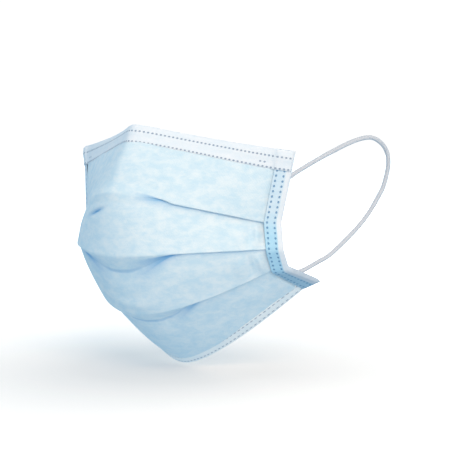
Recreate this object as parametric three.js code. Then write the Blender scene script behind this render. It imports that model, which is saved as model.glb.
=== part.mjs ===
import * as THREE from 'three';

// A pleated face mask, opened at the middle as it is worn. Lengths are in millimetres.
// X runs across the face, the outside of the mask looks along -Y, and Z is up.
// The zero point is the peak of the top edge, where the mask sits on the nose.

// Cloth walls, and the air left between two pieces that touch
const WALL = 1.0;
const HALF_WALL = WALL / 2;
const GAP = 0.3;
// Distance between the middles of two walls that lie on each other
const LAYER = WALL + GAP;

// Pleats: depth of a fold, step between the layers of a closed pleat and lean of that step, the
// largest share to which a pleat opens, and the blunting and longest corner of a fold
const PLEAT_DEPTH = 10.5;
const PLEAT_STEP = 2.4;
const PLEAT_LEAN = 0.09;
const PLEAT_OPEN_MOST = 0.985;
const FOLD_CHAMFER = 0.25;
const MITRE_MOST = 0.6 * PLEAT_DEPTH;

// Side tapes: a flat strip beyond each end of the rows, turned back from the X axis. The sheet stops
// a margin short of the outer edge of the tape, and each face of the tape is lifted off it.
const TAPE_WIDTH = 9;
const TAPE_MARGIN = 2.6;
const TAPE_LIFT = 1.6;
const TAPE_STATIONS = [1.1, 1.5, 2];
const TAPE_TURN = THREE.MathUtils.degToRad(40);

// Bands that are folded over the top and the bottom edge
const TOP_BAND = 10.5;
const BOTTOM_BAND = 6.5;
const BAND_OVERLAP = 3.5;
const BAND_END = 0.997;

// Flat wire in the tunnel of the top band
const WIRE_UPPER = 2;
const WIRE_LOWER = 6;
const WIRE_END = 0.92;

// Elastic loops
const CORD_RADIUS = 1.5;
const CORD_SIDES = 8;
const CORD_STEPS = 32;
const CORD_CLEAR = 0.45;
const LOOP_TURN = THREE.MathUtils.degToRad(70);
const LOOP_REACH = 66;
const LOOP_DROOP = { left: 14, right: 0 };
// Share of the way down the seam at which each loop is welded to the inside of the tape
const WELD_UPPER = 0.52;
const WELD_LOWER = 0.5;
const WELD_ACROSS = [0.12, 0.5, 0.88];

// Sections on each half of the mask
const HALF_SECTIONS = 20;

// Colour and roughness of each kind of piece
const FINISH = {
  sheet: { color: '#c4deee', roughness: 0.9 },
  band: { color: '#eef0f6', roughness: 0.9 },
  wire: { color: '#e6e8ec', roughness: 0.5 },
  hem: { color: '#d9e6f0', roughness: 0.9 },
  tape: { color: '#b3d0e8', roughness: 0.85 },
  cord: { color: '#eceeef', roughness: 0.8 },
};

// Rows that run across the mask, from the top edge over the three outer folds to the bottom edge.
// mid is y and z at the middle, side is x, y and z where the tape starts. round is how blunt the
// row is at the middle, bow and fall are the powers of its sweep back and of its change of height,
// and rise is what it climbs across the tape.
const ROWS = [
  { name: 'top', mid: [0, 0], side: [67, 33.7, -12.2], round: 0.06, bow: 0.7, fall: 0.6, rise: -1.2 },
  { name: 'upper fold', mid: [-18.4, -34.7], side: [61.5, 29, -49.6],
    round: 0.2, bow: 1.54, fall: 1.34, rise: -0.5 },
  { name: 'middle fold', mid: [-18.1, -67.4], side: [64.4, 27, -63.2],
    round: 0.2, bow: 2.2, fall: 0.6, rise: 0 },
  { name: 'lower fold', mid: [-2.1, -98.4], side: [62, 35, -74.6],
    round: 0.54, bow: 1.62, fall: 1.9, rise: 0.6 },
  { name: 'bottom', mid: [38.4, -128.7], side: [63.4, 61.6, -86],
    round: 0.24, bow: 1.95, fall: 1.5, rise: 3.6 },
];
// Bluntness of the change of height at the middle of a row, and the step over which its run is taken
const FALL_ROUND = 0.1;
const RUN_STEP = 0.05;
const BOTTOM = ROWS.length - 1;
const PLEATS = [1, 2, 3];

// Free part of an ear loop: distance down from its upper weld, and reach behind the tape
const LOOP = [
  { down: -3, reach: 7 },
  { down: -9, reach: 20 },
  { down: -14, reach: 33 },
  { down: -17.5, reach: 40 },
  { down: -20, reach: 47 },
  { down: -21, reach: 52.5 },
  { down: -21, reach: 57 },
  { down: -19.5, reach: 61 },
  { down: -16, reach: 64.5 },
  { down: -11.5, reach: 66 },
  { down: -6, reach: 65.5 },
  { down: -0.5, reach: 63.5 },
  { down: 6.5, reach: 60 },
  { down: 13, reach: 55 },
  { down: 20.5, reach: 48.5 },
  { down: 27.5, reach: 41 },
  { down: 34.5, reach: 32 },
  { down: 39.5, reach: 25 },
  { down: 44, reach: 18 },
  { down: 47, reach: 11 },
];

const plus = (point, way, length) => point.clone().addScaledVector(way, length);
const between = (start, end, share) => start.clone().lerp(end, share);
const heading = (start, end) => end.clone().sub(start).normalize();
const square = (first, second) => first.clone().cross(second).normalize();

// 0 at the middle of a row and 1 at its side, blunt at the middle
function sweep(share, round, power) {
  const at = (value) => Math.pow(value * value + round * round, power / 2);
  return (at(share) - at(0)) / (at(1) - at(0));
}

// A station is 0 at the middle, 1 where the tape starts and 2 at the outer edge of the tape
function rowPoint(row, station) {
  const open = Math.min(Math.abs(station), 1);
  const over = Math.abs(station) - open;
  const level = Math.sqrt(TAPE_WIDTH * TAPE_WIDTH - row.rise * row.rise) * over;
  const [midY, midZ] = row.mid;
  const [sideX, sideY, sideZ] = row.side;
  const x = sideX * open + level * Math.cos(TAPE_TURN);
  const y = midY + (sideY - midY) * sweep(open, row.round, row.bow) + level * Math.sin(TAPE_TURN);
  const z = midZ + (sideZ - midZ) * sweep(open, FALL_ROUND, row.fall) + row.rise * over;
  return new THREE.Vector3(Math.sign(station) * x, y, z);
}

// Direction in which a row runs at a station, towards +X
function runOf(row, station) {
  return heading(rowPoint(row, station - RUN_STEP), rowPoint(row, station + RUN_STEP));
}

// Share to which a pleat is open: it is closed along the tapes
function openShare(fold, station) {
  const chord = (at) => rowPoint(ROWS[fold], at).distanceTo(rowPoint(ROWS[fold + 1], at));
  const share = (chord(station) - chord(1)) / (2 * PLEAT_DEPTH);
  return THREE.MathUtils.clamp(share, 0, PLEAT_OPEN_MOST);
}

// One pleat under a panel that starts at the given place: its outer fold, the inner fold behind it,
// and the place under it where the next panel comes out
function pleatUnder(start, fold, station) {
  const outer = rowPoint(ROWS[fold], station);
  const run = runOf(ROWS[fold], station);
  const above = heading(start, outer);
  const below = heading(outer, rowPoint(ROWS[fold + 1], station));
  const open = openShare(fold, station);
  const closedStep = plus(square(run, above).multiplyScalar(PLEAT_STEP), above, PLEAT_STEP * PLEAT_LEAN);
  const across = closedStep.multiplyScalar(1 - open);
  across.addScaledVector(below, 2 * PLEAT_DEPTH * open);
  const half = across.length() / 2;
  const height = Math.sqrt(PLEAT_DEPTH * PLEAT_DEPTH - half * half);
  const middle = plus(outer, across, 1 / 2);
  const inner = plus(middle, square(run, across), height);
  return { outer, inner, under: outer.clone().add(across) };
}

// The three pleats at a station, from the top down
function pleatsAt(station) {
  let start = rowPoint(ROWS[0], station);
  return PLEATS.map((fold) => {
    const pleat = pleatUnder(start, fold, station);
    start = pleat.under;
    return pleat;
  });
}

// Point of the top panel at a distance under the top edge
function topPanel(depth, station) {
  const edge = rowPoint(ROWS[0], station);
  return plus(edge, heading(edge, rowPoint(ROWS[1], station)), depth);
}

// Point of the bottom panel at a distance over the bottom edge
function bottomPanel(depth, station) {
  const edge = rowPoint(ROWS[BOTTOM], station);
  const [, , lowest] = pleatsAt(station);
  return plus(edge, heading(edge, lowest.under), depth);
}

// Zigzag through the pleats at one station
function sheetLine(station) {
  const band = topPanel(TOP_BAND, station);
  const fold = rowPoint(ROWS[1], station);
  const line = [topPanel(TOP_BAND - BAND_OVERLAP, station), band];
  line.push(between(band, fold, 1 / 3), between(band, fold, 2 / 3));
  for (const pleat of pleatsAt(station)) line.push(pleat.outer, pleat.inner, pleat.under);
  const under = line[line.length - 1];
  const edge = bottomPanel(BOTTOM_BAND - BAND_OVERLAP, station);
  line.push(between(under, edge, 1 / 2), edge);
  return line;
}
const PLEAT_KINDS = PLEATS.flatMap(() => ['outer', 'inner', 'plain']);
const SHEET_KINDS = ['plain', 'plain', 'plain', 'plain', ...PLEAT_KINDS, 'plain', 'plain'];

// Offset of a bent line at one of its points, so that both neighbours keep their distance
function mitre(before, after, distance) {
  const shift = before.clone().add(after).multiplyScalar(distance / (1 + before.dot(after)));
  return shift.clampLength(0, MITRE_MOST);
}

// Front and back points of a cloth wall along one line, two of them on the outside of a fold
function wallRing(line, runs, kinds) {
  const ways = line.slice(1).map((point, i) => heading(line[i], point));
  return line.map((point, i) => {
    const wayIn = ways[Math.max(i - 1, 0)];
    const wayOut = ways[Math.min(i, ways.length - 1)];
    const before = square(runs[i], wayIn);
    const after = square(runs[i], wayOut);
    const fold = (lift) => [
      plus(plus(point, before, lift), wayIn, -FOLD_CHAMFER),
      plus(plus(point, after, lift), wayOut, FOLD_CHAMFER),
    ];
    const bend = (lift) => [point.clone().add(mitre(before, after, lift))];
    const front = kinds[i] === 'outer' ? fold(-HALF_WALL) : bend(-HALF_WALL);
    const back = kinds[i] === 'inner' ? fold(HALF_WALL) : bend(HALF_WALL);
    return { front, back };
  });
}

// Directions in which a grid of lines runs from line to line
function runsOf(lines) {
  const final = lines.length - 1;
  const runAt = (i, j) => heading(lines[Math.max(i - 1, 0)][j], lines[Math.min(i + 1, final)][j]);
  return lines.map((line, i) => line.map((point, j) => runAt(i, j)));
}

// Closed wall on a grid of lines. Each line is a list of points, and all have the same count.
// Both faces of the wall are split along the same diagonals. They turn over from the panel to the
// flap of a pleat, and at the middle of a wall that runs across the whole mask.
function clothWall(lines, { kinds = lines[0].map(() => 'plain'), whole = true } = {}) {
  const final = lines.length - 1;
  const runs = runsOf(lines);
  const rings = lines.map((line, i) => wallRing(line, runs[i], kinds));
  const around = (ring, pick) => [
    ...ring.flatMap((place, j) => place.front.map((point) => pick(point, j))),
    ...ring.flatMap((place, j) => place.back.map((point) => pick(point, j))).reverse(),
  ];
  const loops = rings.map((ring) => around(ring, (point) => point));
  const places = around(rings[0], (point, j) => j);
  const frontCount = rings[0].flatMap((place) => place.front).length;
  const triangles = [];
  for (let i = 0; i < final; i += 1) {
    const near = loops[i];
    const far = loops[i + 1];
    near.forEach((point, m) => {
      const next = (m + 1) % near.length;
      const flap = places[m] !== places[next] && kinds[Math.min(places[m], places[next])] === 'outer';
      const turned = (whole && 2 * i >= final) !== flap;
      if (m < frontCount !== turned) {
        triangles.push([point, near[next], far[next]], [point, far[next], far[m]]);
      } else {
        triangles.push([point, near[next], far[m]], [near[next], far[next], far[m]]);
      }
    });
  }
  const cap = (ring) => {
    const faces = [];
    ring.forEach((place, j) => {
      const { front, back } = place;
      if (front.length > 1) faces.push([front[0], front[1], back[0]]);
      if (back.length > 1) faces.push([front[0], back[1], back[0]]);
      if (j + 1 === ring.length) return;
      const next = ring[j + 1];
      const corner = front[front.length - 1];
      faces.push([corner, next.front[0], next.back[0]]);
      faces.push([corner, next.back[0], back[back.length - 1]]);
    });
    return faces;
  };
  triangles.push(...cap(rings[final]));
  triangles.push(...cap(rings[0]).map((face) => face.reverse()));
  return closedGeometry(triangles);
}

// Geometry of a closed surface with its faces turned out
function closedGeometry(triangles) {
  let volume = 0;
  triangles.forEach(([a, b, c]) => {
    volume += a.dot(b.clone().cross(c));
  });
  const outward = volume < 0 ? triangles.map(([a, b, c]) => [a, c, b]) : triangles;
  const geometry = new THREE.BufferGeometry();
  geometry.setFromPoints(outward.flat());
  geometry.computeVertexNormals();
  return geometry;
}

// Stations from one end to the other, closer together at the nose and at both ends
function stationsTo(end) {
  const stations = [];
  for (let i = -HALF_SECTIONS; i <= HALF_SECTIONS; i += 1) {
    const turn = (Math.PI * i) / HALF_SECTIONS;
    stations.push((Math.sign(i) * end * (1 - Math.cos(turn))) / 2);
  }
  return stations;
}

function maskBody() {
  const sideEdge = 2 - TAPE_MARGIN / TAPE_WIDTH;
  const tapeMiddle = (1 + sideEdge) / 2;
  const stations = [-sideEdge, -tapeMiddle, ...stationsTo(1), tapeMiddle, sideEdge];
  return clothWall(stations.map(sheetLine), { kinds: SHEET_KINDS });
}

// Band folded over an edge: along one face of the panel, over the edge and along the other face
function foldedBand(panel, height) {
  const base = stationsTo(BAND_END).map((station) => [panel(height, station), panel(HALF_WALL, station)]);
  const runs = runsOf(base);
  const lines = base.map(([root, rim], i) => {
    const way = heading(root, rim);
    const rootNormal = square(runs[i][0], way);
    const rimNormal = square(runs[i][1], way);
    return [
      plus(root, rootNormal, -LAYER),
      plus(rim, rimNormal, -LAYER),
      plus(rim, rimNormal, LAYER),
      plus(root, rootNormal, LAYER),
    ];
  });
  return clothWall(lines);
}

function noseWire() {
  const lineAt = (station) => [topPanel(WIRE_UPPER, station), topPanel(WIRE_LOWER, station)];
  return clothWall(stationsTo(WIRE_END).map(lineAt));
}

// Line moved sideways as a whole, with its bends kept square
function offsetLine(line, run, distance) {
  const normals = line.slice(1).map((point, i) => square(run, heading(line[i], point)));
  return line.map((point, i) => {
    const before = normals[Math.max(i - 1, 0)];
    const after = normals[Math.min(i, normals.length - 1)];
    return point.clone().add(mitre(before, after, distance));
  });
}

// Lines of the tape over the outer folds and behind the inner folds, point for point
function tapeLines(station) {
  const run = runOf(ROWS[2], station);
  const rows = ROWS.map((row) => rowPoint(row, station));
  const inside = [rows[0]];
  for (const pleat of pleatsAt(station)) inside.push(pleat.inner, pleat.under);
  inside.push(between(inside[inside.length - 1], rows[BOTTOM], 1 / 2), rows[BOTTOM]);
  const folds = offsetLine(rows, run, -TAPE_LIFT);
  const front = [folds[0]];
  for (const fold of PLEATS) {
    const panel = rows[fold - 1].distanceTo(rows[fold]);
    front.push(between(folds[fold - 1], folds[fold], 1 - PLEAT_DEPTH / panel), folds[fold]);
  }
  front.push(between(folds[BOTTOM - 1], folds[BOTTOM], 1 / 2), folds[BOTTOM]);
  return { front, back: offsetLine(inside, run, TAPE_LIFT), run };
}

function sideTape(side) {
  const across = TAPE_STATIONS.map((station) => tapeLines(station * side));
  const lines = across[0].front.map((point, i) => [
    ...across.map((line) => line.front[i]),
    ...across.map((line) => line.back[i]).reverse(),
  ]);
  return clothWall(lines, { whole: false });
}

// Points of the cord on the inside of the tape, from its inner to its outer edge
function weldPoints(side, first, last, share) {
  const inside = (station) => {
    const { back, run } = tapeLines(station);
    const inward = square(run, heading(back[first], back[last]));
    return plus(between(back[first], back[last], share), inward, HALF_WALL + CORD_CLEAR + CORD_RADIUS);
  };
  const inner = inside(side);
  const outer = inside(2 * side);
  return WELD_ACROSS.map((across) => between(inner, outer, across));
}

function earLoop(side, droop) {
  const lastUnder = 2 * PLEATS.length;
  const upper = weldPoints(side, 0, 1, WELD_UPPER);
  const lower = weldPoints(side, lastUnder, lastUnder + 2, WELD_LOWER).reverse();
  const start = upper[upper.length - 1];
  const down = heading(start, lower[0]);
  const back = new THREE.Vector3(side * Math.cos(LOOP_TURN), Math.sin(LOOP_TURN), 0);
  const free = LOOP.map((place) => {
    const point = plus(plus(start, down, place.down), back, place.reach);
    point.z -= droop * Math.pow(place.reach / LOOP_REACH, 2);
    return point;
  });
  const path = new THREE.CatmullRomCurve3([...upper, ...free, ...lower]);
  const ring = [];
  for (let i = 0; i < CORD_SIDES; i += 1) {
    const angle = (2 * Math.PI * i) / CORD_SIDES;
    ring.push(new THREE.Vector2(CORD_RADIUS * Math.cos(angle), CORD_RADIUS * Math.sin(angle)));
  }
  const shape = new THREE.Shape(ring);
  return new THREE.ExtrudeGeometry(shape, { steps: CORD_STEPS, extrudePath: path, bevelEnabled: false });
}

function piece(name, geometry, finish) {
  const material = new THREE.MeshStandardMaterial({ ...finish, metalness: 0 });
  const mesh = new THREE.Mesh(geometry, material);
  mesh.name = name;
  return mesh;
}

const mask = new THREE.Group();
mask.name = 'surgical_face_mask';
mask.add(piece('mask_body', maskBody(), FINISH.sheet));
mask.add(piece('top_binding', foldedBand(topPanel, TOP_BAND), FINISH.band));
mask.add(piece('nose_wire', noseWire(), FINISH.wire));
mask.add(piece('bottom_binding', foldedBand(bottomPanel, BOTTOM_BAND), FINISH.hem));
mask.add(piece('side_tape_left', sideTape(-1), FINISH.tape));
mask.add(piece('side_tape_right', sideTape(1), FINISH.tape));
mask.add(piece('ear_loop_left', earLoop(-1, LOOP_DROOP.left), FINISH.cord));
mask.add(piece('ear_loop_right', earLoop(1, LOOP_DROOP.right), FINISH.cord));

export default mask;
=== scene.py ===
"""Surgical face mask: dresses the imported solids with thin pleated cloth, bound edges and elastic loops."""
import math
from collections import namedtuple

import bpy
import numpy as np
from mathutils import Matrix, Vector


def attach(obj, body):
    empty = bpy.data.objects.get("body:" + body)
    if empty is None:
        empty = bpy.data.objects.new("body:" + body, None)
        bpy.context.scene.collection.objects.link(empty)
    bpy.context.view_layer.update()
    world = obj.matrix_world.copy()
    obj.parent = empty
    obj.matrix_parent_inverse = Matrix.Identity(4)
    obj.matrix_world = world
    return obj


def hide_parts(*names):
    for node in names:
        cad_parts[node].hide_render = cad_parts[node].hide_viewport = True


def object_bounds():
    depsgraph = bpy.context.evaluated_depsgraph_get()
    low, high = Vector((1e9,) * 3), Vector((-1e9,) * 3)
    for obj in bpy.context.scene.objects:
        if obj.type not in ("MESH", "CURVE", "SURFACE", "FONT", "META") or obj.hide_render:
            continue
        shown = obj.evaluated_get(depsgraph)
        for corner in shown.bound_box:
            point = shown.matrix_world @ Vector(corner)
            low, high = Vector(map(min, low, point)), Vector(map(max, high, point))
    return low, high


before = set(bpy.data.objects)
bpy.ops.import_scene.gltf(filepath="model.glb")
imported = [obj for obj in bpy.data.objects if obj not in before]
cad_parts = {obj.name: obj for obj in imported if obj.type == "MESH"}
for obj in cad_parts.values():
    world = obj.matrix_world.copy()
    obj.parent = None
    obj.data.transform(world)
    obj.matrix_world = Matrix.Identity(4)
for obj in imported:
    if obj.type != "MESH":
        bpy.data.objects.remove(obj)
CAD_BOX = [list(corner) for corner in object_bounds()]

bl_info = {
    "name": "Surgical face mask",
    "version": (1, 0, 0),
    "blender": (4, 5, 0),
    "location": "View3D > Sidebar > Mask",
    "description": "Builds a pleated face mask with bound edges and ear loops",
    "category": "Object",
}

MM = 0.001

# Rows across the mask, in millimetres: mid is y and z at the middle, side is x, y and z where the
# tape starts, round is how blunt the row is at the middle, bow and fall are the powers of its sweep
# back and of its change of height, and rise is what it climbs across the tape.
ROWS = [
    dict(mid=(0, 0), side=(67, 33.7, -12.2), round=0.06, bow=0.7, fall=0.6, rise=-1.2),
    dict(mid=(-18.4, -34.7), side=(61.5, 29, -49.6), round=0.2, bow=1.54, fall=1.34, rise=-0.5),
    dict(mid=(-18.1, -67.4), side=(64.4, 27, -63.2), round=0.2, bow=2.2, fall=0.6, rise=0),
    dict(mid=(-2.1, -98.4), side=(62, 35, -74.6), round=0.54, bow=1.62, fall=1.9, rise=0.6),
    dict(mid=(38.4, -128.7), side=(63.4, 61.6, -86), round=0.24, bow=1.95, fall=1.5, rise=3.6),
]
FOLDS = (1, 2, 3)
FALL_ROUND = 0.1
RUN_STEP = 0.05
TAPE_TURN = math.radians(40)
HALF_FLAT = 78.5

# Pleats. A station is 0 at the middle, 1 where the tape starts and 2 at the tape's outer edge; lengths
# are in millimetres. The valley of a spread pleat is a share of the pleat's depth, up to a most.
VALLEY = 0.75
VALLEY_MOST = 3.0
VALLEY_HALF = 0.3
PLEAT_OPEN_MOST = 0.955
OPEN_THINNING = 0.35
LEAST_BEND = 0.02
LEAST_TUCK = 0.05
FLAP_LIFT = 0.25
PRESSED_STATIONS = (0.86, 1.0)
SPREAD_STATIONS = {2: (0.06, 0.62), 3: (0.22, 0.72)}
SMOOTH_LEFT = (-0.75, -0.5)
SMOOTH_RIGHT = (0.15, 0.5)
# Pocket below the upper pleat on the left: a dent pressed in, whose patch is also painted dark as painted
# shade
DENT = {"station": -0.21, "share": 0.24, "long": 0.105, "wide": 0.055, "slant": -0.5, "depth": 1.5}

# Sheet: where it starts and ends below the edges, its stations under the tapes, the lines of each part
# between two corners, the lines of a corner, and how it swells
SHEET_TOP = 7.0
SHEET_BOTTOM = 3.0
SHEET_SIDES = np.linspace(1.06, 1.7, 9)
SHEET_COUNTS = [16] + [7, 3, 7, 26] + [7, 3, 7, 20] + [7, 3, 7, 16]
SHEET_BENDS = 4
HALF_COLUMNS = 110
PLEAT_PARTS = 4
PANEL_PARTS = (0, 4, 8, 12)
PANEL_CROWN = 0.7
IRONING = 160

# Ridges beside the tapes: distance from the middle, width, height and slant
RIDGES = ((75.2, 0.9, 1.1, 0.0), (72.6, 1.1, -0.9, 0.05), (69.0, 1.6, 0.6, 0.1))

# Tapes: how far over the tape's width they reach, and how the lower end is pinched shut
TAPE_REACH = 1.97
TAPE_PINCH = 0.7
PINCH_LENGTH = 1.2

# Rows of weld dots, in millimetres from the edge of the band, hem or tape
BAND_WELDS = {"rows": (3.9, 9.8), "pitch": 2.2, "half_long": 0.58, "half_wide": 0.46, "weld_share": 0.72}
HEM_WELDS = {"rows": (1.6, 5.4), "pitch": 2.6, "half_long": 0.8, "half_wide": 0.36, "weld_share": 0.6}
TAPE_WELDS = {"rows": (1.8, 5.6), "pitch": 2.7, "half_long": 0.62, "half_wide": 0.52, "weld_share": 0.8}

# Pale and deep patches of the cloth, as multiples of its colour
CLOUD_TINT = (0.76, 0.89, 0.96)
CLOUD_LIGHT = (1.14, 1.055, 1.02)

# Free part of an ear loop: distance down from its upper weld and reach behind the tape, in millimetres
LOOP_DOWN_REACH = np.array([
    (-3.2, 7), (-9.2, 20), (-14.7, 33), (-17.5, 40), (-19.8, 47), (-21, 52.5), (-21.1, 57), (-19.5, 61),
    (-16, 64.5), (-11.5, 66), (-6, 65.5), (-0.5, 63.5), (6.5, 60), (13, 55), (20.5, 48.5),
    (27.5, 41), (34.5, 32), (39.5, 25), (44, 18), (47, 11),
], dtype=float)
LOOP_TURN = math.radians(70)
LOOP_REACH = 66.0
LOOP_DROOP = {"left": 14.0, "right": 0.0}
WELD_UPPER = 0.52
WELD_LOWER = 0.5
WELD_ACROSS = (0.12, 0.5, 0.88)
SOLID_TAPE_LIFT = 1.6
SOLID_CORD_LIFT = 2.45

# Stage: floor and backdrop in millimetres; each light's name, place, size, power and tint
FLOOR_REACH = 4500
DOME_RADIUS = 5000
WORLD_TINT = (0.64, 0.85, 1.0)
WORLD_STRENGTH = 0.71
LIGHT_TARGET = (0, 0.02, -0.06)
LIGHTS = (
    ("key", (1.0, -0.75, 0.85), 0.9, 11.5, (1.0, 0.70, 0.47)),
    ("front", (0.95, -0.75, -0.10), 0.7, 6.8, (1.0, 0.72, 0.50)),
    ("top", (-0.2, -0.3, 1.3), 1.4, 2.6, (0.85, 0.85, 0.80)),
    ("back", (-0.25, 1.3, 0.30), 1.2, 8.0, (1.0, 0.84, 0.70)),
)


class MaskSizes(bpy.types.PropertyGroup):
    """Sizes of the mask's pieces"""

    cloth: bpy.props.FloatProperty(
        name="Cloth", description="Thickness of the pleated sheet", default=0.00045, unit="LENGTH")
    trim: bpy.props.FloatProperty(
        name="Trim", description="Thickness of bands and tapes", default=0.00035, unit="LENGTH")
    pleat_depth: bpy.props.FloatProperty(
        name="Pleat depth", description="Depth of each fold", default=0.0105, unit="LENGTH")
    pleat_step: bpy.props.FloatProperty(
        name="Pleat step", description="Room between the layers of a closed pleat", default=0.0017,
        unit="LENGTH")
    pressed_step: bpy.props.FloatProperty(
        name="Pressed step", description="Room between the layers under the tape", default=0.0011,
        unit="LENGTH")
    tape_width: bpy.props.FloatProperty(
        name="Tape width", description="Width of each side tape", default=0.009, unit="LENGTH")
    tape_lift: bpy.props.FloatProperty(
        name="Tape lift", description="Distance of the tape from the folds under it", default=0.0011,
        unit="LENGTH")
    top_band: bpy.props.FloatProperty(
        name="Top band", description="Height of the band on the top edge", default=0.0105,
        unit="LENGTH")
    bottom_band: bpy.props.FloatProperty(
        name="Bottom hem", description="Height of the hem on the bottom edge", default=0.0065,
        unit="LENGTH")
    wire_width: bpy.props.FloatProperty(
        name="Wire width", description="Width of the flat nose wire", default=0.004, unit="LENGTH")
    cord: bpy.props.FloatProperty(
        name="Cord", description="Diameter of the elastic loops", default=0.0024, unit="LENGTH")


def colour_property(name, description, default):
    """Colour of a property group."""
    return bpy.props.FloatVectorProperty(
        name=name, description=description, default=default, subtype="COLOR", size=3, min=0, max=1)


class MaskColours(bpy.types.PropertyGroup):
    """Colours of the mask's cloth, wire and cord"""

    outside: colour_property("Outside", "Outer face of the sheet", (0.66, 0.81, 0.90))
    # Tuck is painted shade: a deeper blue for the shade inside closed pleats, under the folds and on the
    # creases
    tuck: colour_property("Tuck", "Outer face deep in a closed pleat", (0.08, 0.37, 0.70))
    inside: colour_property("Inside", "Face towards the wearer", (0.86, 0.88, 0.90))
    band: colour_property("Band", "Band on the top edge", (0.76, 0.84, 0.915))
    hem: colour_property("Hem", "Hem on the bottom edge", (0.84, 0.91, 0.95))
    tape: colour_property("Tape", "Side tapes", (0.41, 0.69, 0.88))
    tape_margin: colour_property("Tape margin", "Outer margin of the side tapes", (0.76, 0.83, 0.90))
    # Painted shade: the darker lower end of the side tapes
    tape_end_shade: colour_property("Tape end", "Lower end of the side tapes", (0.20, 0.32, 0.45))
    weld: colour_property("Weld", "Pressed weld dots of band and hem", (0.13, 0.23, 0.38))
    tape_weld: colour_property("Tape weld", "Pressed weld dots of the tapes", (0.07, 0.24, 0.48))
    wire: colour_property("Wire", "Coating of the nose wire", (0.80, 0.81, 0.83))
    cord: colour_property("Cord", "Elastic of the loops", (0.62, 0.67, 0.74))
    floor: colour_property("Floor", "Studio floor", (0.80, 0.77, 0.75))


# Shape of the pleated sheet

def unit(vectors):
    """Vectors scaled to length 1."""
    return vectors / np.linalg.norm(vectors, axis=-1, keepdims=True)


def square(first, second):
    """Unit vectors square to both, from the cross product."""
    return unit(np.cross(first, second))


def smooth(low, high, value):
    """0 below low, 1 above high, and the cubic 3 s^2 - 2 s^3 of the share s between them."""
    share = np.clip((value - low) / (high - low), 0, 1)
    return share * share * (3 - 2 * share)


def sweep(share, rounding, power):
    """Power of the distance from the middle, blunted by rounding, scaled to run from 0 to 1."""
    at = lambda value: (value * value + rounding * rounding) ** (power / 2)
    return (at(share) - at(0.0)) / (at(1.0) - at(0.0))


def row_line(row, station):
    """Row of the mask: x grows with the station, y and z follow sweeps; past 1 it is the flat tape."""
    across = np.abs(station)
    share = np.minimum(across, 1)
    over = across - share
    width = bpy.context.scene.mask_sizes.tape_width / MM
    level = math.sqrt(width ** 2 - row["rise"] ** 2) * over
    (mid_y, mid_z), (side_x, side_y, side_z) = row["mid"], row["side"]
    x = side_x * share + level * math.cos(TAPE_TURN)
    y = mid_y + (side_y - mid_y) * sweep(share, row["round"], row["bow"]) + level * math.sin(TAPE_TURN)
    z = mid_z + (side_z - mid_z) * sweep(share, FALL_ROUND, row["fall"]) + row["rise"] * over
    return np.stack([np.sign(station) * x, y, z], axis=-1)


def row_run(row, station):
    """Way along a row: from a point just before the station to one just after."""
    return unit(row_line(row, station + RUN_STEP) - row_line(row, station - RUN_STEP))


def open_share(fold, station):
    """Chord between two folds less the chord at the tape, as a share of the pleat's cloth."""
    sizes = bpy.context.scene.mask_sizes
    chord = lambda at: np.linalg.norm(row_line(ROWS[fold], at) - row_line(ROWS[fold + 1], at), axis=-1)
    share = (chord(station) - chord(np.ones(1))) / (2 * sizes.pleat_depth / MM)
    return np.clip(share, 0, PLEAT_OPEN_MOST)


Pleat = namedtuple("Pleat", "outer flap_end return_start under spread")


def pleats_at(station):
    """Outer fold, the two sides of the inner fold, the place under the outer fold and the spread of each
    pleat. A tucked pleat lies flat: its flap goes up behind the panel as far as the pleat is still
    closed, turns, and comes back under the outer fold. A spread pleat is a valley: two sides over a base
    that runs the way of the next panel."""
    sizes = bpy.context.scene.mask_sizes
    depth = sizes.pleat_depth / MM
    start = row_line(ROWS[0], station)
    found = []
    for fold in FOLDS:
        outer = row_line(ROWS[fold], station)
        run = row_run(ROWS[fold], station)
        above = unit(outer - start)
        below = unit(row_line(ROWS[fold + 1], station) - outer)
        inward = square(run, above)
        share = open_share(fold, station)[:, None]
        spread = pleat_spread(fold, station)[:, None]
        kept = 1 - spread_out(fold, station)[:, None]
        pressed = smooth(*PRESSED_STATIONS, np.abs(station))[:, None]
        step = (sizes.pleat_step + (sizes.pressed_step - sizes.pleat_step) * pressed) / MM
        bend = step * (1 - OPEN_THINNING * share) * kept + LEAST_BEND
        tuck = outer - above * (depth * (1 - share) * kept + LEAST_TUCK) + inward * (FLAP_LIFT * kept)
        turned = tuck + inward * bend
        base = below * (2 * depth * share)
        fall = np.minimum(VALLEY * depth * np.sqrt(1 - share * share), VALLEY_MOST)
        valley = outer + base / 2 + square(run, below) * fall
        flap_end = tuck + (valley - below * VALLEY_HALF - tuck) * spread
        return_start = turned + (valley + below * VALLEY_HALF - turned) * spread
        under = outer + inward * bend * (1 - spread) + base * spread
        found.append(Pleat(outer, flap_end, return_start, under, spread[:, 0]))
        start = under
    return found


def pleat_spread(fold, station):
    """How far a pleat is spread to a valley: fully at the middle, not at all past the end station."""
    return np.zeros_like(station) if fold == 1 else 1 - smooth(*SPREAD_STATIONS[fold], np.abs(station))


def spread_out(fold, station):
    """Where the upper pleat is pulled out smooth: round the middle, further on the left."""
    if fold != 1:
        return np.zeros_like(station)
    return smooth(*SMOOTH_LEFT, station) * (1 - smooth(*SMOOTH_RIGHT, station))


def ironed(grid, weight, turns):
    """Each line moved towards the mean of its two neighbours, many times, as far as the weight says."""
    for _ in range(turns):
        mean = (grid[:-2] + grid[2:]) / 2
        grid[1:-1] += (mean - grid[1:-1]) * weight[1:-1] * 0.5
    return grid


def top_panel(depth, station):
    """Places at a depth below the top edge, on the line from it to the first fold."""
    edge = row_line(ROWS[0], station)
    return edge + unit(row_line(ROWS[1], station) - edge) * depth


def bottom_panel(depth, station):
    """Places at a height above the bottom edge, on the line from it to the last pleat."""
    edge = row_line(ROWS[-1], station)
    return edge + unit(pleats_at(station)[-1].under - edge) * depth


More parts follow.
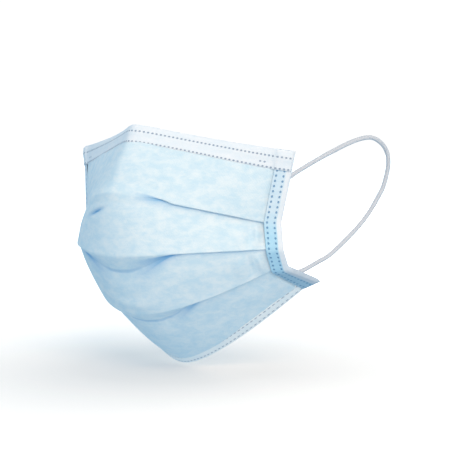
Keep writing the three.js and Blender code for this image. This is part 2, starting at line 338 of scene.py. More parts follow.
def rounded_line(keys, trims, counts, bends):
    """Line through keys whose corners are quadratic curves: straight parts shortened by the trims, then
    a curve from one to the next with the key as its control. Also gives part number plus share."""
    lengths = [np.linalg.norm(b - a, axis=-1) for a, b in zip(keys, keys[1:])]
    ways = [unit(b - a) for a, b in zip(keys, keys[1:])]
    limits = [0.46 * np.minimum(a, b) for a, b in zip(lengths, lengths[1:])]
    none = np.zeros_like(lengths[0])
    cuts = [none] + [np.minimum(t, m) for t, m in zip(trims, limits)] + [none]
    points, places = [], []
    for k, way in enumerate(ways):
        start = keys[k] + way * cuts[k][:, None]
        end = keys[k + 1] - way * cuts[k + 1][:, None]
        share = np.linspace(0, 1, counts[k])[:, None, None]
        points.append(start + (end - start) * share)
        places.append(k + np.linspace(0, 1, counts[k]))
        if k + 1 < len(ways):
            after = keys[k + 1] + ways[k + 1] * cuts[k + 1][:, None]
            t = np.linspace(0, 1, bends + 2)[1:-1, None, None]
            points.append(end * (1 - t) ** 2 + keys[k + 1] * (2 * t * (1 - t)) + after * t * t)
            places.append(np.full(bends, k + 1.0))
    return np.concatenate(points), np.concatenate(places)


def grid_normals(grid):
    """Normals from the cross product of the steps down and along the grid."""
    down = np.gradient(grid, axis=0)
    along = np.gradient(grid, axis=1)
    normals = np.cross(down, along)
    return normals / np.maximum(np.linalg.norm(normals, axis=-1, keepdims=True), 1e-9)


def running_length(grid, column):
    """Length down one column of a grid, from its first point."""
    steps = np.linalg.norm(np.diff(grid[:, column], axis=0), axis=-1)
    return np.concatenate([[0], np.cumsum(steps)])


def flat_across(station):
    """Millimetres from the middle along the flat sheet, and past station 1 across the tape."""
    share = np.minimum(np.abs(station), 1)
    width = bpy.context.scene.mask_sizes.tape_width / MM
    return np.sign(station) * (HALF_FLAT * share + width * (np.abs(station) - share))


# Meshes

def grid_mesh(name, grid, uv=None, closed=False, attributes=None, flip=False):
    """Mesh of quads on a grid of points in millimetres, closed round its columns where asked."""
    rows, columns = grid.shape[:2]
    index = np.arange(rows * columns).reshape(rows, columns)
    right = np.roll(index, -1, axis=1) if closed else index[:, 1:]
    left = index if closed else index[:, :-1]
    quads = np.stack([left[:-1], left[1:], right[1:], right[:-1]], axis=-1).reshape(-1, 4)
    if flip:
        quads = quads[:, ::-1]
    mesh = bpy.data.meshes.new(name)
    mesh.from_pydata((grid.reshape(-1, 3) * MM).tolist(), [], quads.tolist())
    if uv is not None:
        corners = np.empty(len(mesh.loops), dtype=np.int32)
        mesh.loops.foreach_get("vertex_index", corners)
        layer = mesh.uv_layers.new(name="flat")
        layer.data.foreach_set("uv", uv.reshape(-1, 2)[corners].astype(np.float32).ravel())
    for label, values in (attributes or {}).items():
        layer = mesh.attributes.new(label, "FLOAT", "POINT")
        layer.data.foreach_set("value", values.astype(np.float32).ravel())
    mesh.polygons.foreach_set("use_smooth", np.ones(len(mesh.polygons), dtype=bool))
    mesh.validate()
    mesh.update()
    piece = bpy.data.objects.new(name, mesh)
    bpy.context.scene.collection.objects.link(piece)
    return piece


def thicken(piece, thickness, offset, second=0):
    """Gives a surface its thickness; second moves the material of the inner shell on."""
    wall = piece.modifiers.new("wall", "SOLIDIFY")
    wall.thickness = thickness
    wall.offset = offset
    wall.use_even_offset = False
    wall.material_offset = second
    return piece


def settle(piece, node, slot, *materials):
    """Gives a piece its materials and its body, and hides the node that it stands for; slot is not used."""
    for material in materials:
        piece.data.materials.append(material)
    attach(piece, "root")
    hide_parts(node)
    return piece


# Materials

def add(tree, kind, inputs=None, **settings):
    """Node of a kind, with its settings and its input values or links."""
    node = tree.nodes.new(kind)
    for key, value in settings.items():
        setattr(node, key, value)
    for key, value in (inputs or {}).items():
        if isinstance(value, bpy.types.NodeSocket):
            tree.links.new(value, node.inputs[key])
        else:
            node.inputs[key].default_value = value
    return node


def maths(tree, operation, first, second=0.0, third=0.0):
    """Result of one sum on numbers or sockets."""
    return add(tree, "ShaderNodeMath", {0: first, 1: second, 2: third}, operation=operation).outputs[0]


def fade(tree, value, low, high):
    """Smooth step from 0 at low to 1 at high."""
    node = add(tree, "ShaderNodeMapRange", {0: value, 1: low, 2: high}, interpolation_type="SMOOTHSTEP")
    return node.outputs[0]


def mixed(tree, share, first, second):
    """Mix of two colours, each a plain one or a socket."""
    node = add(tree, "ShaderNodeMix", data_type="RGBA")
    for key, value in ((0, share), (6, first), (7, second)):
        if isinstance(value, bpy.types.NodeSocket):
            tree.links.new(value, node.inputs[key])
        elif key == 0:
            node.inputs[key].default_value = value
        else:
            node.inputs[key].default_value = (*value, 1)
    return node.outputs[2]


def flat_coordinates(tree):
    """Millimetres along and across the piece, from its own map."""
    source = add(tree, "ShaderNodeUVMap", uv_map="flat")
    parts = add(tree, "ShaderNodeSeparateXYZ", {0: source.outputs[0]})
    return parts.outputs[0], parts.outputs[1]


def dot_row(tree, along, across, pitch, place, half_long, half_wide):
    """1 inside dots that repeat along a line at a pitch: an ellipse test on the distance to the next."""
    cell = maths(tree, "WRAP", along, pitch / 2, -pitch / 2)
    far = maths(tree, "POWER", maths(tree, "DIVIDE", cell, half_long), 2.0)
    off = maths(tree, "DIVIDE", maths(tree, "SUBTRACT", across, place), half_wide)
    total = maths(tree, "ADD", far, maths(tree, "POWER", maths(tree, "ABSOLUTE", off), 2.0))
    return fade(tree, total, 1.5, 0.5)


def fresh_material(name):
    """New material with its node tree and its shader."""
    material = bpy.data.materials.new(name)
    material.use_nodes = True
    tree = material.node_tree
    return material, tree, tree.nodes["Principled BSDF"]


def cloth_height(tree, along, across, bond):
    """Fine fibres and a grid of pressed bond points, as a height in metres."""
    place = add(tree, "ShaderNodeTexCoord").outputs["Object"]
    fibre = add(tree, "ShaderNodeTexNoise", {"Vector": place, "Scale": 1900.0, "Detail": 3.0,
                                             "Roughness": 0.6, "Distortion": 1.2})
    cell_x = maths(tree, "COSINE", maths(tree, "MULTIPLY", along, 2 * math.pi / bond))
    cell_y = maths(tree, "COSINE", maths(tree, "MULTIPLY", across, 2 * math.pi / bond))
    points = fade(tree, maths(tree, "MULTIPLY", cell_x, cell_y), 0.35, 0.9)
    height = maths(tree, "SUBTRACT", maths(tree, "MULTIPLY", fibre.outputs[0], 0.7),
                   maths(tree, "MULTIPLY", points, 0.35))
    return height, fibre.outputs[0], place


def tinted(tree, colour, tint):
    """Colour times a tint, worked out here where the colour is a plain one."""
    if isinstance(colour, bpy.types.NodeSocket):
        return add(tree, "ShaderNodeVectorMath", {0: colour, 1: tint}, operation="MULTIPLY").outputs[0]
    return tuple(part * share for part, share in zip(colour, tint))


def cloth_shade(tree, colour, fibre, place, amount):
    """Colour with cloudy changes of the web, patches a few millimetres wide, and a trace of the fibres."""
    stretch = add(tree, "ShaderNodeMapping", {"Vector": place, "Scale": (1.0, 1.0, 1.7)}).outputs[0]
    cloud = add(tree, "ShaderNodeTexNoise", {"Vector": stretch, "Scale": 150.0, "Detail": 6.0,
                                             "Roughness": 0.68, "Distortion": 0.15})
    patch = fade(tree, cloud.outputs[0], 0.30, 0.70)
    change = maths(tree, "MULTIPLY_ADD", fibre, 0.35, maths(tree, "MULTIPLY", patch, 0.65))
    cloudy = mixed(tree, change, tinted(tree, colour, CLOUD_TINT), tinted(tree, colour, CLOUD_LIGHT))
    return mixed(tree, amount, colour, cloudy)


def raise_from(tree, height, distance, strength):
    """Normal that shows a height in the light."""
    bump = add(tree, "ShaderNodeBump", {"Height": height, "Distance": distance, "Strength": strength})
    return bump.outputs[0]


def sheet_outside():
    """Pale blue web, deeper blue where the attribute says that the cloth lies in a closed pleat, as painted
    shade.
    """
    colours = bpy.context.scene.mask_colours
    material, tree, shader = fresh_material("sheet_outside")
    along, across = flat_coordinates(tree)
    height, fibre, place = cloth_height(tree, along, across, 1.5)
    # The tuck attribute paints shade: deeper blue inside the pleats, under the folds and on the creases
    tuck = add(tree, "ShaderNodeAttribute", attribute_name="tuck").outputs["Fac"]
    colour = mixed(tree, tuck, tuple(colours.outside), tuple(colours.tuck))
    tree.links.new(cloth_shade(tree, colour, fibre, place, 1.0), shader.inputs["Base Color"])
    tree.links.new(raise_from(tree, height, 0.00012, 0.6), shader.inputs["Normal"])
    shader.inputs["Roughness"].default_value = 0.88
    shader.inputs["Sheen Weight"].default_value = 0.12
    return material


def sheet_inside():
    """White web on the face towards the wearer."""
    colours = bpy.context.scene.mask_colours
    material, tree, shader = fresh_material("sheet_inside")
    along, across = flat_coordinates(tree)
    height, fibre, place = cloth_height(tree, along, across, 1.5)
    colour = cloth_shade(tree, tuple(colours.inside), fibre, place, 0.35)
    tree.links.new(colour, shader.inputs["Base Color"])
    tree.links.new(raise_from(tree, height, 0.00012, 0.6), shader.inputs["Normal"])
    shader.inputs["Roughness"].default_value = 0.9
    return material


def welded_cloth(name, plain, weld, rows, pitch, half_long, half_wide, weld_share, wash=None):
    """Cloth with rows of weld dots that are pressed in and a little darker."""
    material, tree, shader = fresh_material(name)
    along, across = flat_coordinates(tree)
    height, fibre, place = cloth_height(tree, along, across, 1.5)
    dots = 0.0
    for row in rows:
        dots = maths(tree, "MAXIMUM", dot_row(tree, along, across, pitch, row, half_long, half_wide), dots)
    colour = wash(tree, along, across, tuple(plain)) if wash else tuple(plain)
    colour = mixed(tree, maths(tree, "MULTIPLY", dots, weld_share), colour, tuple(weld))
    tree.links.new(cloth_shade(tree, colour, fibre, place, 0.4), shader.inputs["Base Color"])
    pits = maths(tree, "MULTIPLY", dots, 1.6)
    pressed = maths(tree, "SUBTRACT", maths(tree, "MULTIPLY", height, 0.4), pits)
    tree.links.new(raise_from(tree, pressed, 0.0002, 0.8), shader.inputs["Normal"])
    shader.inputs["Roughness"].default_value = 0.85
    shader.inputs["Sheen Weight"].default_value = 0.1
    return material


def tape_wash(tree, along, across, colour):
    """Outer margin whiter, lower end much darker as painted shade."""
    colours = bpy.context.scene.mask_colours
    margin = fade(tree, across, 6.2, 7.0)
    colour = mixed(tree, margin, colour, tuple(colours.tape_margin))
    upper = fade(tree, along, 46.0, 30.0)
    colour = mixed(tree, maths(tree, "MULTIPLY", upper, 0.55), colour, tuple(colours.tape_margin))
    # Painted shade that deepens towards the lower end of the tape
    lower = fade(tree, along, 64.0, 72.0)
    return mixed(tree, maths(tree, "MULTIPLY", lower, 0.45), colour, tuple(colours.tape_end_shade))


def wire_end(tree, along, across, colour):
    """A pair of dots beyond each end of the nose wire."""
    colours = bpy.context.scene.mask_colours
    past = maths(tree, "SUBTRACT", maths(tree, "ABSOLUTE", along), 72.0)
    window = fade(tree, maths(tree, "ABSOLUTE", past), 2.6, 2.2)
    pair = dot_row(tree, maths(tree, "ADD", past, 1.2), across, 2.4, 7.4, 0.6, 0.5)
    share = maths(tree, "MULTIPLY", pair, maths(tree, "MULTIPLY", window, 0.7))
    return mixed(tree, share, colour, tuple(colours.weld))


def wire_coating():
    """Pale coating with a fine grain."""
    colours = bpy.context.scene.mask_colours
    material, tree, shader = fresh_material("wire_coating")
    place = add(tree, "ShaderNodeTexCoord").outputs["Object"]
    grain = add(tree, "ShaderNodeTexNoise", {"Vector": place, "Scale": 700.0, "Detail": 2.0})
    share = maths(tree, "MULTIPLY", grain.outputs[0], 0.1)
    colour = mixed(tree, share, tuple(colours.wire), (0.6, 0.6, 0.62))
    tree.links.new(colour, shader.inputs["Base Color"])
    tree.links.new(raise_from(tree, grain.outputs[0], 0.00005, 0.4), shader.inputs["Normal"])
    shader.inputs["Roughness"].default_value = 0.5
    return material


def knitted_elastic():
    """Fine knit: ribs that wind round the cord, from the wave of along plus around."""
    colours = bpy.context.scene.mask_colours
    material, tree, shader = fresh_material("knitted_elastic")
    along, around = flat_coordinates(tree)
    turn = 2 * math.pi / 0.9
    other = maths(tree, "MULTIPLY", around, -1.0)
    right = maths(tree, "SINE", maths(tree, "MULTIPLY_ADD", along, turn, around))
    left = maths(tree, "SINE", maths(tree, "MULTIPLY_ADD", along, turn, other))
    knit = maths(tree, "MULTIPLY", right, left)
    shade = fade(tree, knit, -1.0, 0.6)
    colour = mixed(tree, shade, tuple(0.88 * c for c in colours.cord), tuple(colours.cord))
    tree.links.new(colour, shader.inputs["Base Color"])
    tree.links.new(raise_from(tree, knit, 0.00012, 0.7), shader.inputs["Normal"])
    shader.inputs["Roughness"].default_value = 0.8
    shader.inputs["Sheen Weight"].default_value = 0.15
    return material


# Pieces

def mask_stations(end, half):
    """Stations from one end to the other, closer together at the middle and near the tapes."""
    turn = np.linspace(-1, 1, 2 * half + 1)
    inner = np.sign(turn) * (0.6 * np.abs(turn) + 0.4 * (1 - np.cos(np.pi * np.abs(turn))) / 2)
    return inner * end


def wrinkles(along, down, station):
    """Low waves of the web plus a few ridges beside the tapes, in millimetres outwards."""
    slow = np.sin(0.07 * along + 0.05 * down + 1.6 * np.sin(0.028 * along - 0.06 * down + 0.7))
    quick = np.sin(0.19 * along - 0.13 * down + 1.2 * np.sin(0.09 * down + 0.05 * along))
    waves = 0.22 * slow + 0.10 * quick
    edge = np.abs(station) * HALF_FLAT
    ridge = np.zeros_like(waves)
    for centre, width, height, slant in RIDGES:
        ridge += height * np.exp(-((edge - centre + slant * (down - 70)) / width) ** 2)
    ridge *= smooth(42, 52, down) * (1 - smooth(118, 130, down))
    return waves + ridge


def folded_sheet(station, pleats):
    """Grid of the sheet from the top band to the hem: straight panels and flaps with round corners that
    are blunter at the nose, ironed where the upper pleat is pulled out. Also gives part plus share."""
    keys = [top_panel(SHEET_TOP, station)]
    trims = []
    blunt = 3.5 * np.exp(-(station / 0.12) ** 2)
    for fold, pleat in zip(FOLDS, pleats):
        keys += pleat[:PLEAT_PARTS]
        fold_trim = 0.6 + (blunt if fold == 1 else 0.3 * blunt)
        inner_trim = 0.5 + 0.4 * pleat.spread
        trims += [fold_trim, inner_trim, inner_trim, 0.8 + 6.0 * pleat.spread]
    keys.append(bottom_panel(SHEET_BOTTOM, station))
    grid, place = rounded_line(keys, trims, SHEET_COUNTS, SHEET_BENDS)
    upper = (smooth(0.3, 0.7, place) * (1 - smooth(4.3, 4.7, place)))[:, None]
    weight = (upper * spread_out(1, station)[None, :])[..., None]
    return ironed(grid, weight, IRONING), place


def pocket_dent_and_shade(station, share):
    """Pocket and painted shade: slanted patch, 1 at its middle and falling off as a bell, longer along the
    panel than across.
    """
    off = station - DENT["station"]
    fall = share - DENT["share"] - DENT["slant"] * off
    return np.exp(-(off / DENT["long"]) ** 2 - (fall / DENT["wide"]) ** 2)


def pleat_shade_share(place, part, down, station, pleats):
    """Painted shade by how deep in a pleat the cloth lies: 1 on closed flaps, a painted shadow that fades
    below each fold, and a trace of painted shade on the creases of a spread pleat."""
    closed = np.zeros((len(place), len(station)))
    for fold, pleat in zip(FOLDS, pleats):
        number = PLEAT_PARTS * (fold - 1)
        # Painted shade on the closed flaps inside each pleat
        flap = smooth(0.1, 0.5, place - number - 1) * (place < number + PLEAT_PARTS)
        below = down - down[np.argmax(part == number + PLEAT_PARTS)]
        # Painted shadow: a dark line that fades just below each fold
        shadow_below_fold = np.where(below >= 0, np.exp(-below / 1.2), 0)
        tucked = (1 - pleat.spread) * (1 - spread_out(fold, station))
        closed = np.maximum(closed, np.maximum(flap, 0.7 * shadow_below_fold)[:, None] * tucked[None, :])
        # Painted shade: thin dark lines on the creases of a spread pleat
        inner_crease_shade = 0.34 * (np.abs(place - number - 2.5) < 0.52)
        outer_crease_shade = 0.22 * (np.abs(place - number - 1.06) < 0.06)
        closed = np.maximum(closed, (inner_crease_shade + outer_crease_shade)[:, None] * pleat.spread[None, :])
    return closed


class MASK_OT_pleated_sheet(bpy.types.Operator):
    """Builds the three-ply sheet: three pleats, open at the middle and closed at the tapes"""

    bl_idname = "mask.pleated_sheet"
    bl_label = "Pleated sheet"

    def execute(self, context):
        station = np.concatenate([-SHEET_SIDES[::-1], mask_stations(1.0, HALF_COLUMNS), SHEET_SIDES])
        pleats = pleats_at(station)
        grid, place = folded_sheet(station, pleats)
        part = np.floor(np.minimum(place, len(SHEET_COUNTS) - 1e-6)).astype(int)
        share = place - part
        down = running_length(grid, len(station) // 2 + HALF_COLUMNS // 2) + SHEET_TOP
        along = flat_across(station)
        uv = np.stack(np.broadcast_arrays(along[None, :], down[:, None]), axis=-1)
        crown = np.where(np.isin(part, PANEL_PARTS), np.sin(np.pi * share), 0.0)[:, None]
        free = 1 - smooth(0.97, 1.0, np.abs(station))[None, :]
        # The pocket's patch dents the cloth and, through the tuck attribute, paints the shade in it
        dent_and_shade = pocket_dent_and_shade(station[None, :], np.where(part == PLEAT_PARTS, share, 9.0)[:, None])
        swell = PANEL_CROWN + wrinkles(along[None, :], down[:, None], station[None, :])
        lift = crown * swell * free - DENT["depth"] * dent_and_shade
        grid = grid + grid_normals(grid) * lift[..., None]
        # The tuck attribute carries the painted shade of the pleats and of the pocket
        closed = np.maximum(pleat_shade_share(place, part, down, station, pleats), dent_and_shade)
        piece = grid_mesh("pleated_sheet", grid, uv, attributes={"tuck": np.clip(closed, 0, 1)})
        thicken(piece, context.scene.mask_sizes.cloth, 1, second=1)
        settle(piece, "mask_body", "pleated_sheet", sheet_outside(), sheet_inside())
        return {"FINISHED"}


def folded_band(panel, height, end, lift, over, facing, bulge=None):
    """Band over an edge: along one face, round the rim in a half circle and along the other face."""
    tape = np.linspace(1.02, end, 8) if end > 1 else np.zeros(0)
    station = np.concatenate([-tape[::-1], mask_stations(1.0, 90), tape])
    depth = np.linspace(height, 0.6, 12)
    base = np.stack([panel(each, station) for each in depth])
    way = unit(base[-1] - base[0])
    run = unit(np.gradient(base, axis=1))
    normal = square(run, np.broadcast_to(way, base.shape)) * facing
    lift = (lift + over * smooth(0.97, 1.03, np.abs(station)))[None, :, None]
    swell = bulge(depth) if bulge is not None else 0 * depth
    amount = lift + swell[:, None, None]
    turn = np.linspace(0, np.pi, 9)[1:-1, None, None]
    rim = base[-1] + way * 0.55 * np.sin(turn) - normal[-1] * lift[0] * np.cos(turn)
    front, back = base - normal * amount, base + normal * amount
    grid = np.concatenate([front, rim, back[::-1]])
    across = np.concatenate([depth, np.zeros(len(rim)), -depth[::-1]])
    along = flat_across(station)
    uv = np.stack(np.broadcast_arrays(along[None, :], across[:, None]), axis=-1)
    return grid, uv


class MASK_OT_edge_bands(bpy.types.Operator):
    """Builds the white band on the top edge and the hem on the bottom edge"""

    bl_idname = "mask.edge_bands"
    bl_label = "Edge bands"

    def execute(self, context):
        sizes = context.scene.mask_sizes
        colours = context.scene.mask_colours
        wire = lambda depth: 0.32 * np.exp(-((depth - 4.0) / 2.2) ** 4)
        grid, uv = folded_band(top_panel, sizes.top_band / MM, 1.98, 0.55, 1.1, -1, wire)
        band = grid_mesh("top_band", grid, uv, flip=True)
        thicken(band, sizes.trim, 0)
        cloth = welded_cloth("band_cloth", colours.band, colours.weld, wash=wire_end, **BAND_WELDS)
        settle(band, "top_binding", "white_band", cloth)
        grid, uv = folded_band(bottom_panel, sizes.bottom_band / MM, 1.0, 0.5, 0.0, 1)
        hem = grid_mesh("bottom_hem", grid, uv)
        thicken(hem, sizes.trim, 0)
        cloth = welded_cloth("hem_cloth", colours.hem, colours.weld, **HEM_WELDS)
        settle(hem, "bottom_binding", "hem", cloth)
        return {"FINISHED"}


class MASK_OT_nose_wire(bpy.types.Operator):
    """Builds the flat coated wire in the tunnel of the top band"""

    bl_idname = "mask.nose_wire"
    bl_label = "Nose wire"

    def execute(self, context):
        width = context.scene.mask_sizes.wire_width / MM
        station = mask_stations(0.92, 60)
        turn = np.linspace(0, 2 * np.pi, 16, endpoint=False)
        depth = 4.0 - width / 2 * np.sign(np.cos(turn)) * np.abs(np.cos(turn)) ** 0.5
        off = 0.3 * np.sign(np.sin(turn)) * np.abs(np.sin(turn)) ** 0.5
        upper, lower = top_panel(0.0, station), top_panel(10.0, station)
        way = unit(lower - upper)
        normal = square(unit(np.gradient(upper + way * 4, axis=0)), way)
        grid = upper[:, None] + way[:, None] * depth[None, :, None] + normal[:, None] * off[None, :, None]
        middle = grid.mean(axis=1, keepdims=True)
        grid[:1] = middle[:1] + 0.02 * (grid[:1] - middle[:1])
        grid[-1:] = middle[-1:] + 0.02 * (grid[-1:] - middle[-1:])
        wire = grid_mesh("nose_wire_strip", grid, closed=True, flip=True)
        settle(wire, "nose_wire", "wire", wire_coating())
        return {"FINISHED"}


def tape_lines(station, lift):
    """Front line over the outer folds and back line behind the layers, each moved by lift."""
    rows = [row_line(row, station) for row in ROWS]
    under = [rows[0]] + [pleat.under for pleat in pleats_at(station)] + [rows[-1]]
    run = row_run(ROWS[2], station)
    lines = []
    for keys, way in ((rows, -lift), (under, lift)):
        flat = np.full(len(station), 1.6)
        line, _ = rounded_line(keys, [flat] * 3, [22, 9, 9, 16], 4)
        tangent = unit(np.gradient(line, axis=0))
        lines.append(line + square(np.broadcast_to(run, line.shape), tangent) * way)
    return lines


class MASK_OT_side_tapes(bpy.types.Operator):
    """Builds the tapes that are folded over the closed ends of the pleats"""

    bl_idname = "mask.side_tapes"
    bl_label = "Side tapes"

    def execute(self, context):
        sizes = context.scene.mask_sizes
        colours = context.scene.mask_colours
        cloth = welded_cloth("tape_cloth", colours.tape, colours.tape_weld, wash=tape_wash, **TAPE_WELDS)
        lift, width = sizes.tape_lift / MM, sizes.tape_width / MM
        for side, sign in (("left", -1), ("right", 1)):
            reach = np.linspace(1.0, TAPE_REACH, 15)
            front, back = tape_lines(sign * reach, lift)
            down = running_length(front, 4)
            between = (front + back) / 2
            pinch = TAPE_PINCH * np.exp((down - down[-1]) / PINCH_LENGTH)[:, None, None]
            front, back = front + (between - front) * pinch, back + (between - back) * pinch
            turn = np.linspace(0, np.pi, 7)[None, 1:-1, None]
            middle = (front[:, -1:] + back[:, -1:]) / 2
            half = (front[:, -1:] - back[:, -1:]) / 2
            out = unit(front[:, -1:] - front[:, -2:-1]) * 0.5
            rim = middle + half * np.cos(turn) + out * np.sin(turn)
            grid = np.concatenate([front, rim, back[:, ::-1]], axis=1)
            flat = width * (reach - 1)
            across = np.concatenate([flat, np.full(rim.shape[1], width + 0.2), flat[::-1]])
            uv = np.stack(np.broadcast_arrays(down[:, None], across[None, :]), axis=-1)
            tape = grid_mesh(f"side_tape_cloth_{side}", grid, uv, flip=sign < 0)
            thicken(tape, sizes.trim, 0)
            settle(tape, f"side_tape_{side}", "side_tape", cloth)
        return {"FINISHED"}


def curve_through(points, per_span):
    """Centripetal spline through points: each span blends its four neighbours by square roots of chords."""
    first, last = 2 * points[:1] - points[1:2], 2 * points[-1:] - points[-2:-1]
    p = np.concatenate([first, points, last])
    knots = np.concatenate([[0], np.cumsum(np.sqrt(np.linalg.norm(np.diff(p, axis=0), axis=1)))])
    p0, p1, p2, p3 = (p[k:len(p) - 3 + k, None] for k in range(4))
    t0, t1, t2, t3 = (knots[k:len(p) - 3 + k, None, None] for k in range(4))
    t = t1 + (t2 - t1) * np.linspace(0, 1, per_span, endpoint=False)[None, :, None]
    a1 = (t1 - t) / (t1 - t0) * p0 + (t - t0) / (t1 - t0) * p1
    a2 = (t2 - t) / (t2 - t1) * p1 + (t - t1) / (t2 - t1) * p2
    a3 = (t3 - t) / (t3 - t2) * p2 + (t - t2) / (t3 - t2) * p3
    b1 = (t2 - t) / (t2 - t0) * a1 + (t - t0) / (t2 - t0) * a2
    b2 = (t3 - t) / (t3 - t1) * a2 + (t - t1) / (t3 - t1) * a3
    line = ((t2 - t) / (t2 - t1) * b1 + (t - t1) / (t2 - t1) * b2).reshape(-1, 3)
    return np.concatenate([line, points[-1:]])


def weld_line(sign, upper, lift):
    """Places of the cord across the inside of a tape, from its inner to its outer edge."""
    station = sign * np.array([1.0, 2.0])
    rows = [row_line(row, station) for row in ROWS]
    pleats = pleats_at(station)
    if upper:
        start, end, share = rows[0], pleats[0].flap_end, WELD_UPPER
    else:
        start, end, share = pleats[-1].under, rows[-1], WELD_LOWER
    run = row_run(ROWS[2], station)
    ends = start + (end - start) * share + square(run, unit(end - start)) * lift
    across = np.array(WELD_ACROSS)[:, None]
    return ends[0] + (ends[1] - ends[0]) * across


class MASK_OT_ear_loops(bpy.types.Operator):
    """Builds the two elastic loops, welded to the inside of the tapes"""

    bl_idname = "mask.ear_loops"
    bl_label = "Ear loops"

    def execute(self, context):
        sizes = context.scene.mask_sizes
        radius = sizes.cord / MM / 2
        elastic = knitted_elastic()
        lift = (sizes.tape_lift + sizes.trim / 2) / MM + radius
        for side, sign in (("left", -1), ("right", 1)):
            upper = weld_line(sign, True, lift)
            lower = weld_line(sign, False, lift)[::-1]
            solid = SOLID_TAPE_LIFT + SOLID_CORD_LIFT
            start = weld_line(sign, True, solid)[-1]
            down = unit(weld_line(sign, False, solid)[-1] - start)
            back = np.array([sign * math.cos(LOOP_TURN), math.sin(LOOP_TURN), 0])
            free = start + down * LOOP_DOWN_REACH[:, :1] + back * LOOP_DOWN_REACH[:, 1:]
            free[:, 2] -= LOOP_DROOP[side] * (LOOP_DOWN_REACH[:, 1] / LOOP_REACH) ** 2
            line = curve_through(np.concatenate([upper, free, lower]), 9)
            tangent = unit(np.gradient(line, axis=0))
            flat = unit(np.cross(back, down))
            first = unit(flat - tangent * (tangent @ flat)[:, None])
            second = np.cross(tangent, first)
            turn = np.linspace(0, 2 * np.pi, 14, endpoint=False)
            cosine, sine = np.cos(turn)[None, :, None], np.sin(turn)[None, :, None]
            ring = first[:, None] * cosine + second[:, None] * sine
            length = np.concatenate([[0], np.cumsum(np.linalg.norm(np.diff(line, axis=0), axis=1))])
            grid = line[:, None] + ring * radius
            first_cap = line[:1, None] + 0.05 * (grid[:1] - line[:1, None])
            last_cap = line[-1:, None] + 0.05 * (grid[-1:] - line[-1:, None])
            grid = np.concatenate([first_cap, grid, last_cap])
            run = np.concatenate([length[:1], length, length[-1:]])
            uv = np.stack(np.broadcast_arrays(run[:, None], turn[None, :]), axis=-1)
            loop = grid_mesh(f"elastic_loop_{side}", grid, uv, closed=True, flip=True)
            settle(loop, f"ear_loop_{side}", "elastic", elastic)
        return {"FINISHED"}


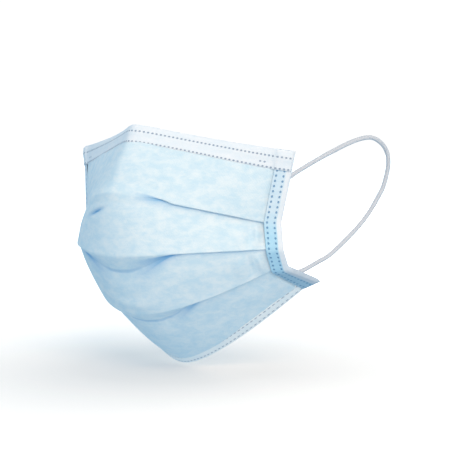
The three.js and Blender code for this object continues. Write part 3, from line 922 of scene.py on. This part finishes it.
class MASK_OT_stage(bpy.types.Operator):
    """Sets the camera, the pale floor, the backdrop and the soft lights"""

    bl_idname = "mask.stage"
    bl_label = "Stage"

    def execute(self, context):
        scene = context.scene
        azimuth, elevation, distance = math.radians(39.2), math.radians(4.1), 0.819
        centre, shift_right, shift_up = Vector((0, 0.025, -0.060)), 0.0307, 0.0065
        right = Vector((math.cos(azimuth), math.sin(azimuth), 0))
        level = math.cos(elevation)
        ahead = Vector((-math.sin(azimuth) * level, math.cos(azimuth) * level, -math.sin(elevation)))
        up = right.cross(ahead)
        data = bpy.data.cameras.new("camera")
        data.sensor_width = 36
        data.lens = 122.7
        data.clip_start, data.clip_end = 0.01, 100
        camera = bpy.data.objects.new("camera", data)
        camera.location = centre + right * shift_right + up * shift_up - ahead * distance
        camera.rotation_euler = Matrix((right, up, -ahead)).transposed().to_euler()
        scene.collection.objects.link(camera)
        scene.camera = camera
        scene.view_settings.view_transform = "Standard"
        self.floor(scene)
        self.lights(scene)
        return {"FINISHED"}

    def floor(self, scene):
        """Wide flat disc under the chin, partly bright in itself so that it stays pale, and a white dome."""
        reach = np.linspace(0, FLOOR_REACH, 12)
        turn = np.linspace(0, 2 * np.pi, 48, endpoint=False)
        level = CAD_BOX[0][2] / MM - 0.2
        grid = np.stack(np.broadcast_arrays(
            reach[:, None] * np.cos(turn), reach[:, None] * np.sin(turn), np.full((12, 48), level)), axis=-1)
        floor = grid_mesh("floor", grid, closed=True)
        material, tree, shader = fresh_material("pale_floor")
        colour = scene.mask_colours.floor
        shader.inputs["Base Color"].default_value = (*colour, 1)
        shader.inputs["Roughness"].default_value = 0.9
        shader.inputs["Emission Color"].default_value = (1, 1, 1, 1)
        place = add(tree, "ShaderNodeTexCoord").outputs["Object"]
        middle = (0.0, 0.03, CAD_BOX[0][2])
        far = add(tree, "ShaderNodeVectorMath", {0: place, 1: middle}, operation="DISTANCE")
        glow = add(tree, "ShaderNodeMapRange", {0: far.outputs["Value"], 1: 0.05, 2: 0.5, 3: 0.12, 4: 1.0})
        tree.links.new(glow.outputs[0], shader.inputs["Emission Strength"])
        floor.data.materials.append(material)
        floor.visible_diffuse = False
        tilt = np.linspace(0.02, np.pi - 0.02, 24)
        dome = np.stack(np.broadcast_arrays(
            np.sin(tilt)[:, None] * np.cos(turn), np.sin(tilt)[:, None] * np.sin(turn),
            np.cos(tilt)[:, None]), axis=-1) * DOME_RADIUS
        backdrop = grid_mesh("backdrop", dome, closed=True)
        material, tree, shader = fresh_material("white_backdrop")
        shader.inputs["Base Color"].default_value = (0, 0, 0, 1)
        shader.inputs["Emission Color"].default_value = (1, 1, 1, 1)
        shader.inputs["Emission Strength"].default_value = 1.0
        backdrop.data.materials.append(material)
        backdrop.visible_diffuse = False
        backdrop.visible_glossy = False
        backdrop.visible_shadow = False

    def lights(self, scene):
        """Bluish sky and the warm soft lights of the table, each turned to the mask."""
        world = bpy.data.worlds.new("studio")
        world.use_nodes = True
        world.node_tree.nodes["Background"].inputs[0].default_value = (*WORLD_TINT, 1)
        world.node_tree.nodes["Background"].inputs[1].default_value = WORLD_STRENGTH
        scene.world = world
        target = Vector(LIGHT_TARGET)
        for name, place, size, power, tint in LIGHTS:
            data = bpy.data.lights.new(name, "AREA")
            data.size = size
            data.energy = power
            data.color = tint
            lamp = bpy.data.objects.new(name, data)
            lamp.location = place
            lamp.rotation_euler = (target - Vector(place)).to_track_quat("-Z", "Y").to_euler()
            scene.collection.objects.link(lamp)


class MASK_OT_declare_cloth(bpy.types.Operator):
    """Step that does nothing and returns at once"""

    bl_idname = "mask.declare_cloth"
    bl_label = "Cloth sizes"

    def execute(self, context):
        return {"FINISHED"}


class MASK_PT_panel(bpy.types.Panel):
    """Lists the sizes, the colours and the steps that build the mask"""

    bl_label = "Face mask"
    bl_idname = "MASK_PT_panel"
    bl_space_type = "VIEW_3D"
    bl_region_type = "UI"
    bl_category = "Mask"

    def draw(self, context):
        layout = self.layout
        for group in (context.scene.mask_sizes, context.scene.mask_colours):
            for name in group.__annotations__:
                layout.prop(group, name)
        for step in STEPS:
            layout.operator(step.bl_idname)


STEPS = (
    MASK_OT_stage, MASK_OT_ear_loops, MASK_OT_pleated_sheet, MASK_OT_edge_bands, MASK_OT_nose_wire,
    MASK_OT_side_tapes, MASK_OT_declare_cloth,
)
CLASSES = (MaskSizes, MaskColours, *STEPS, MASK_PT_panel)


def register():
    for kind in CLASSES:
        bpy.utils.register_class(kind)
    bpy.types.Scene.mask_sizes = bpy.props.PointerProperty(type=MaskSizes)
    bpy.types.Scene.mask_colours = bpy.props.PointerProperty(type=MaskColours)


def unregister():
    del bpy.types.Scene.mask_colours
    del bpy.types.Scene.mask_sizes
    for kind in reversed(CLASSES):
        bpy.utils.unregister_class(kind)


def main():
    register()
    bpy.ops.mask.stage()
    bpy.ops.mask.ear_loops()
    bpy.ops.mask.pleated_sheet()
    bpy.ops.mask.edge_bands()
    bpy.ops.mask.nose_wire()
    bpy.ops.mask.side_tapes()
    bpy.ops.mask.declare_cloth()


if __name__ == "__main__":
    main()
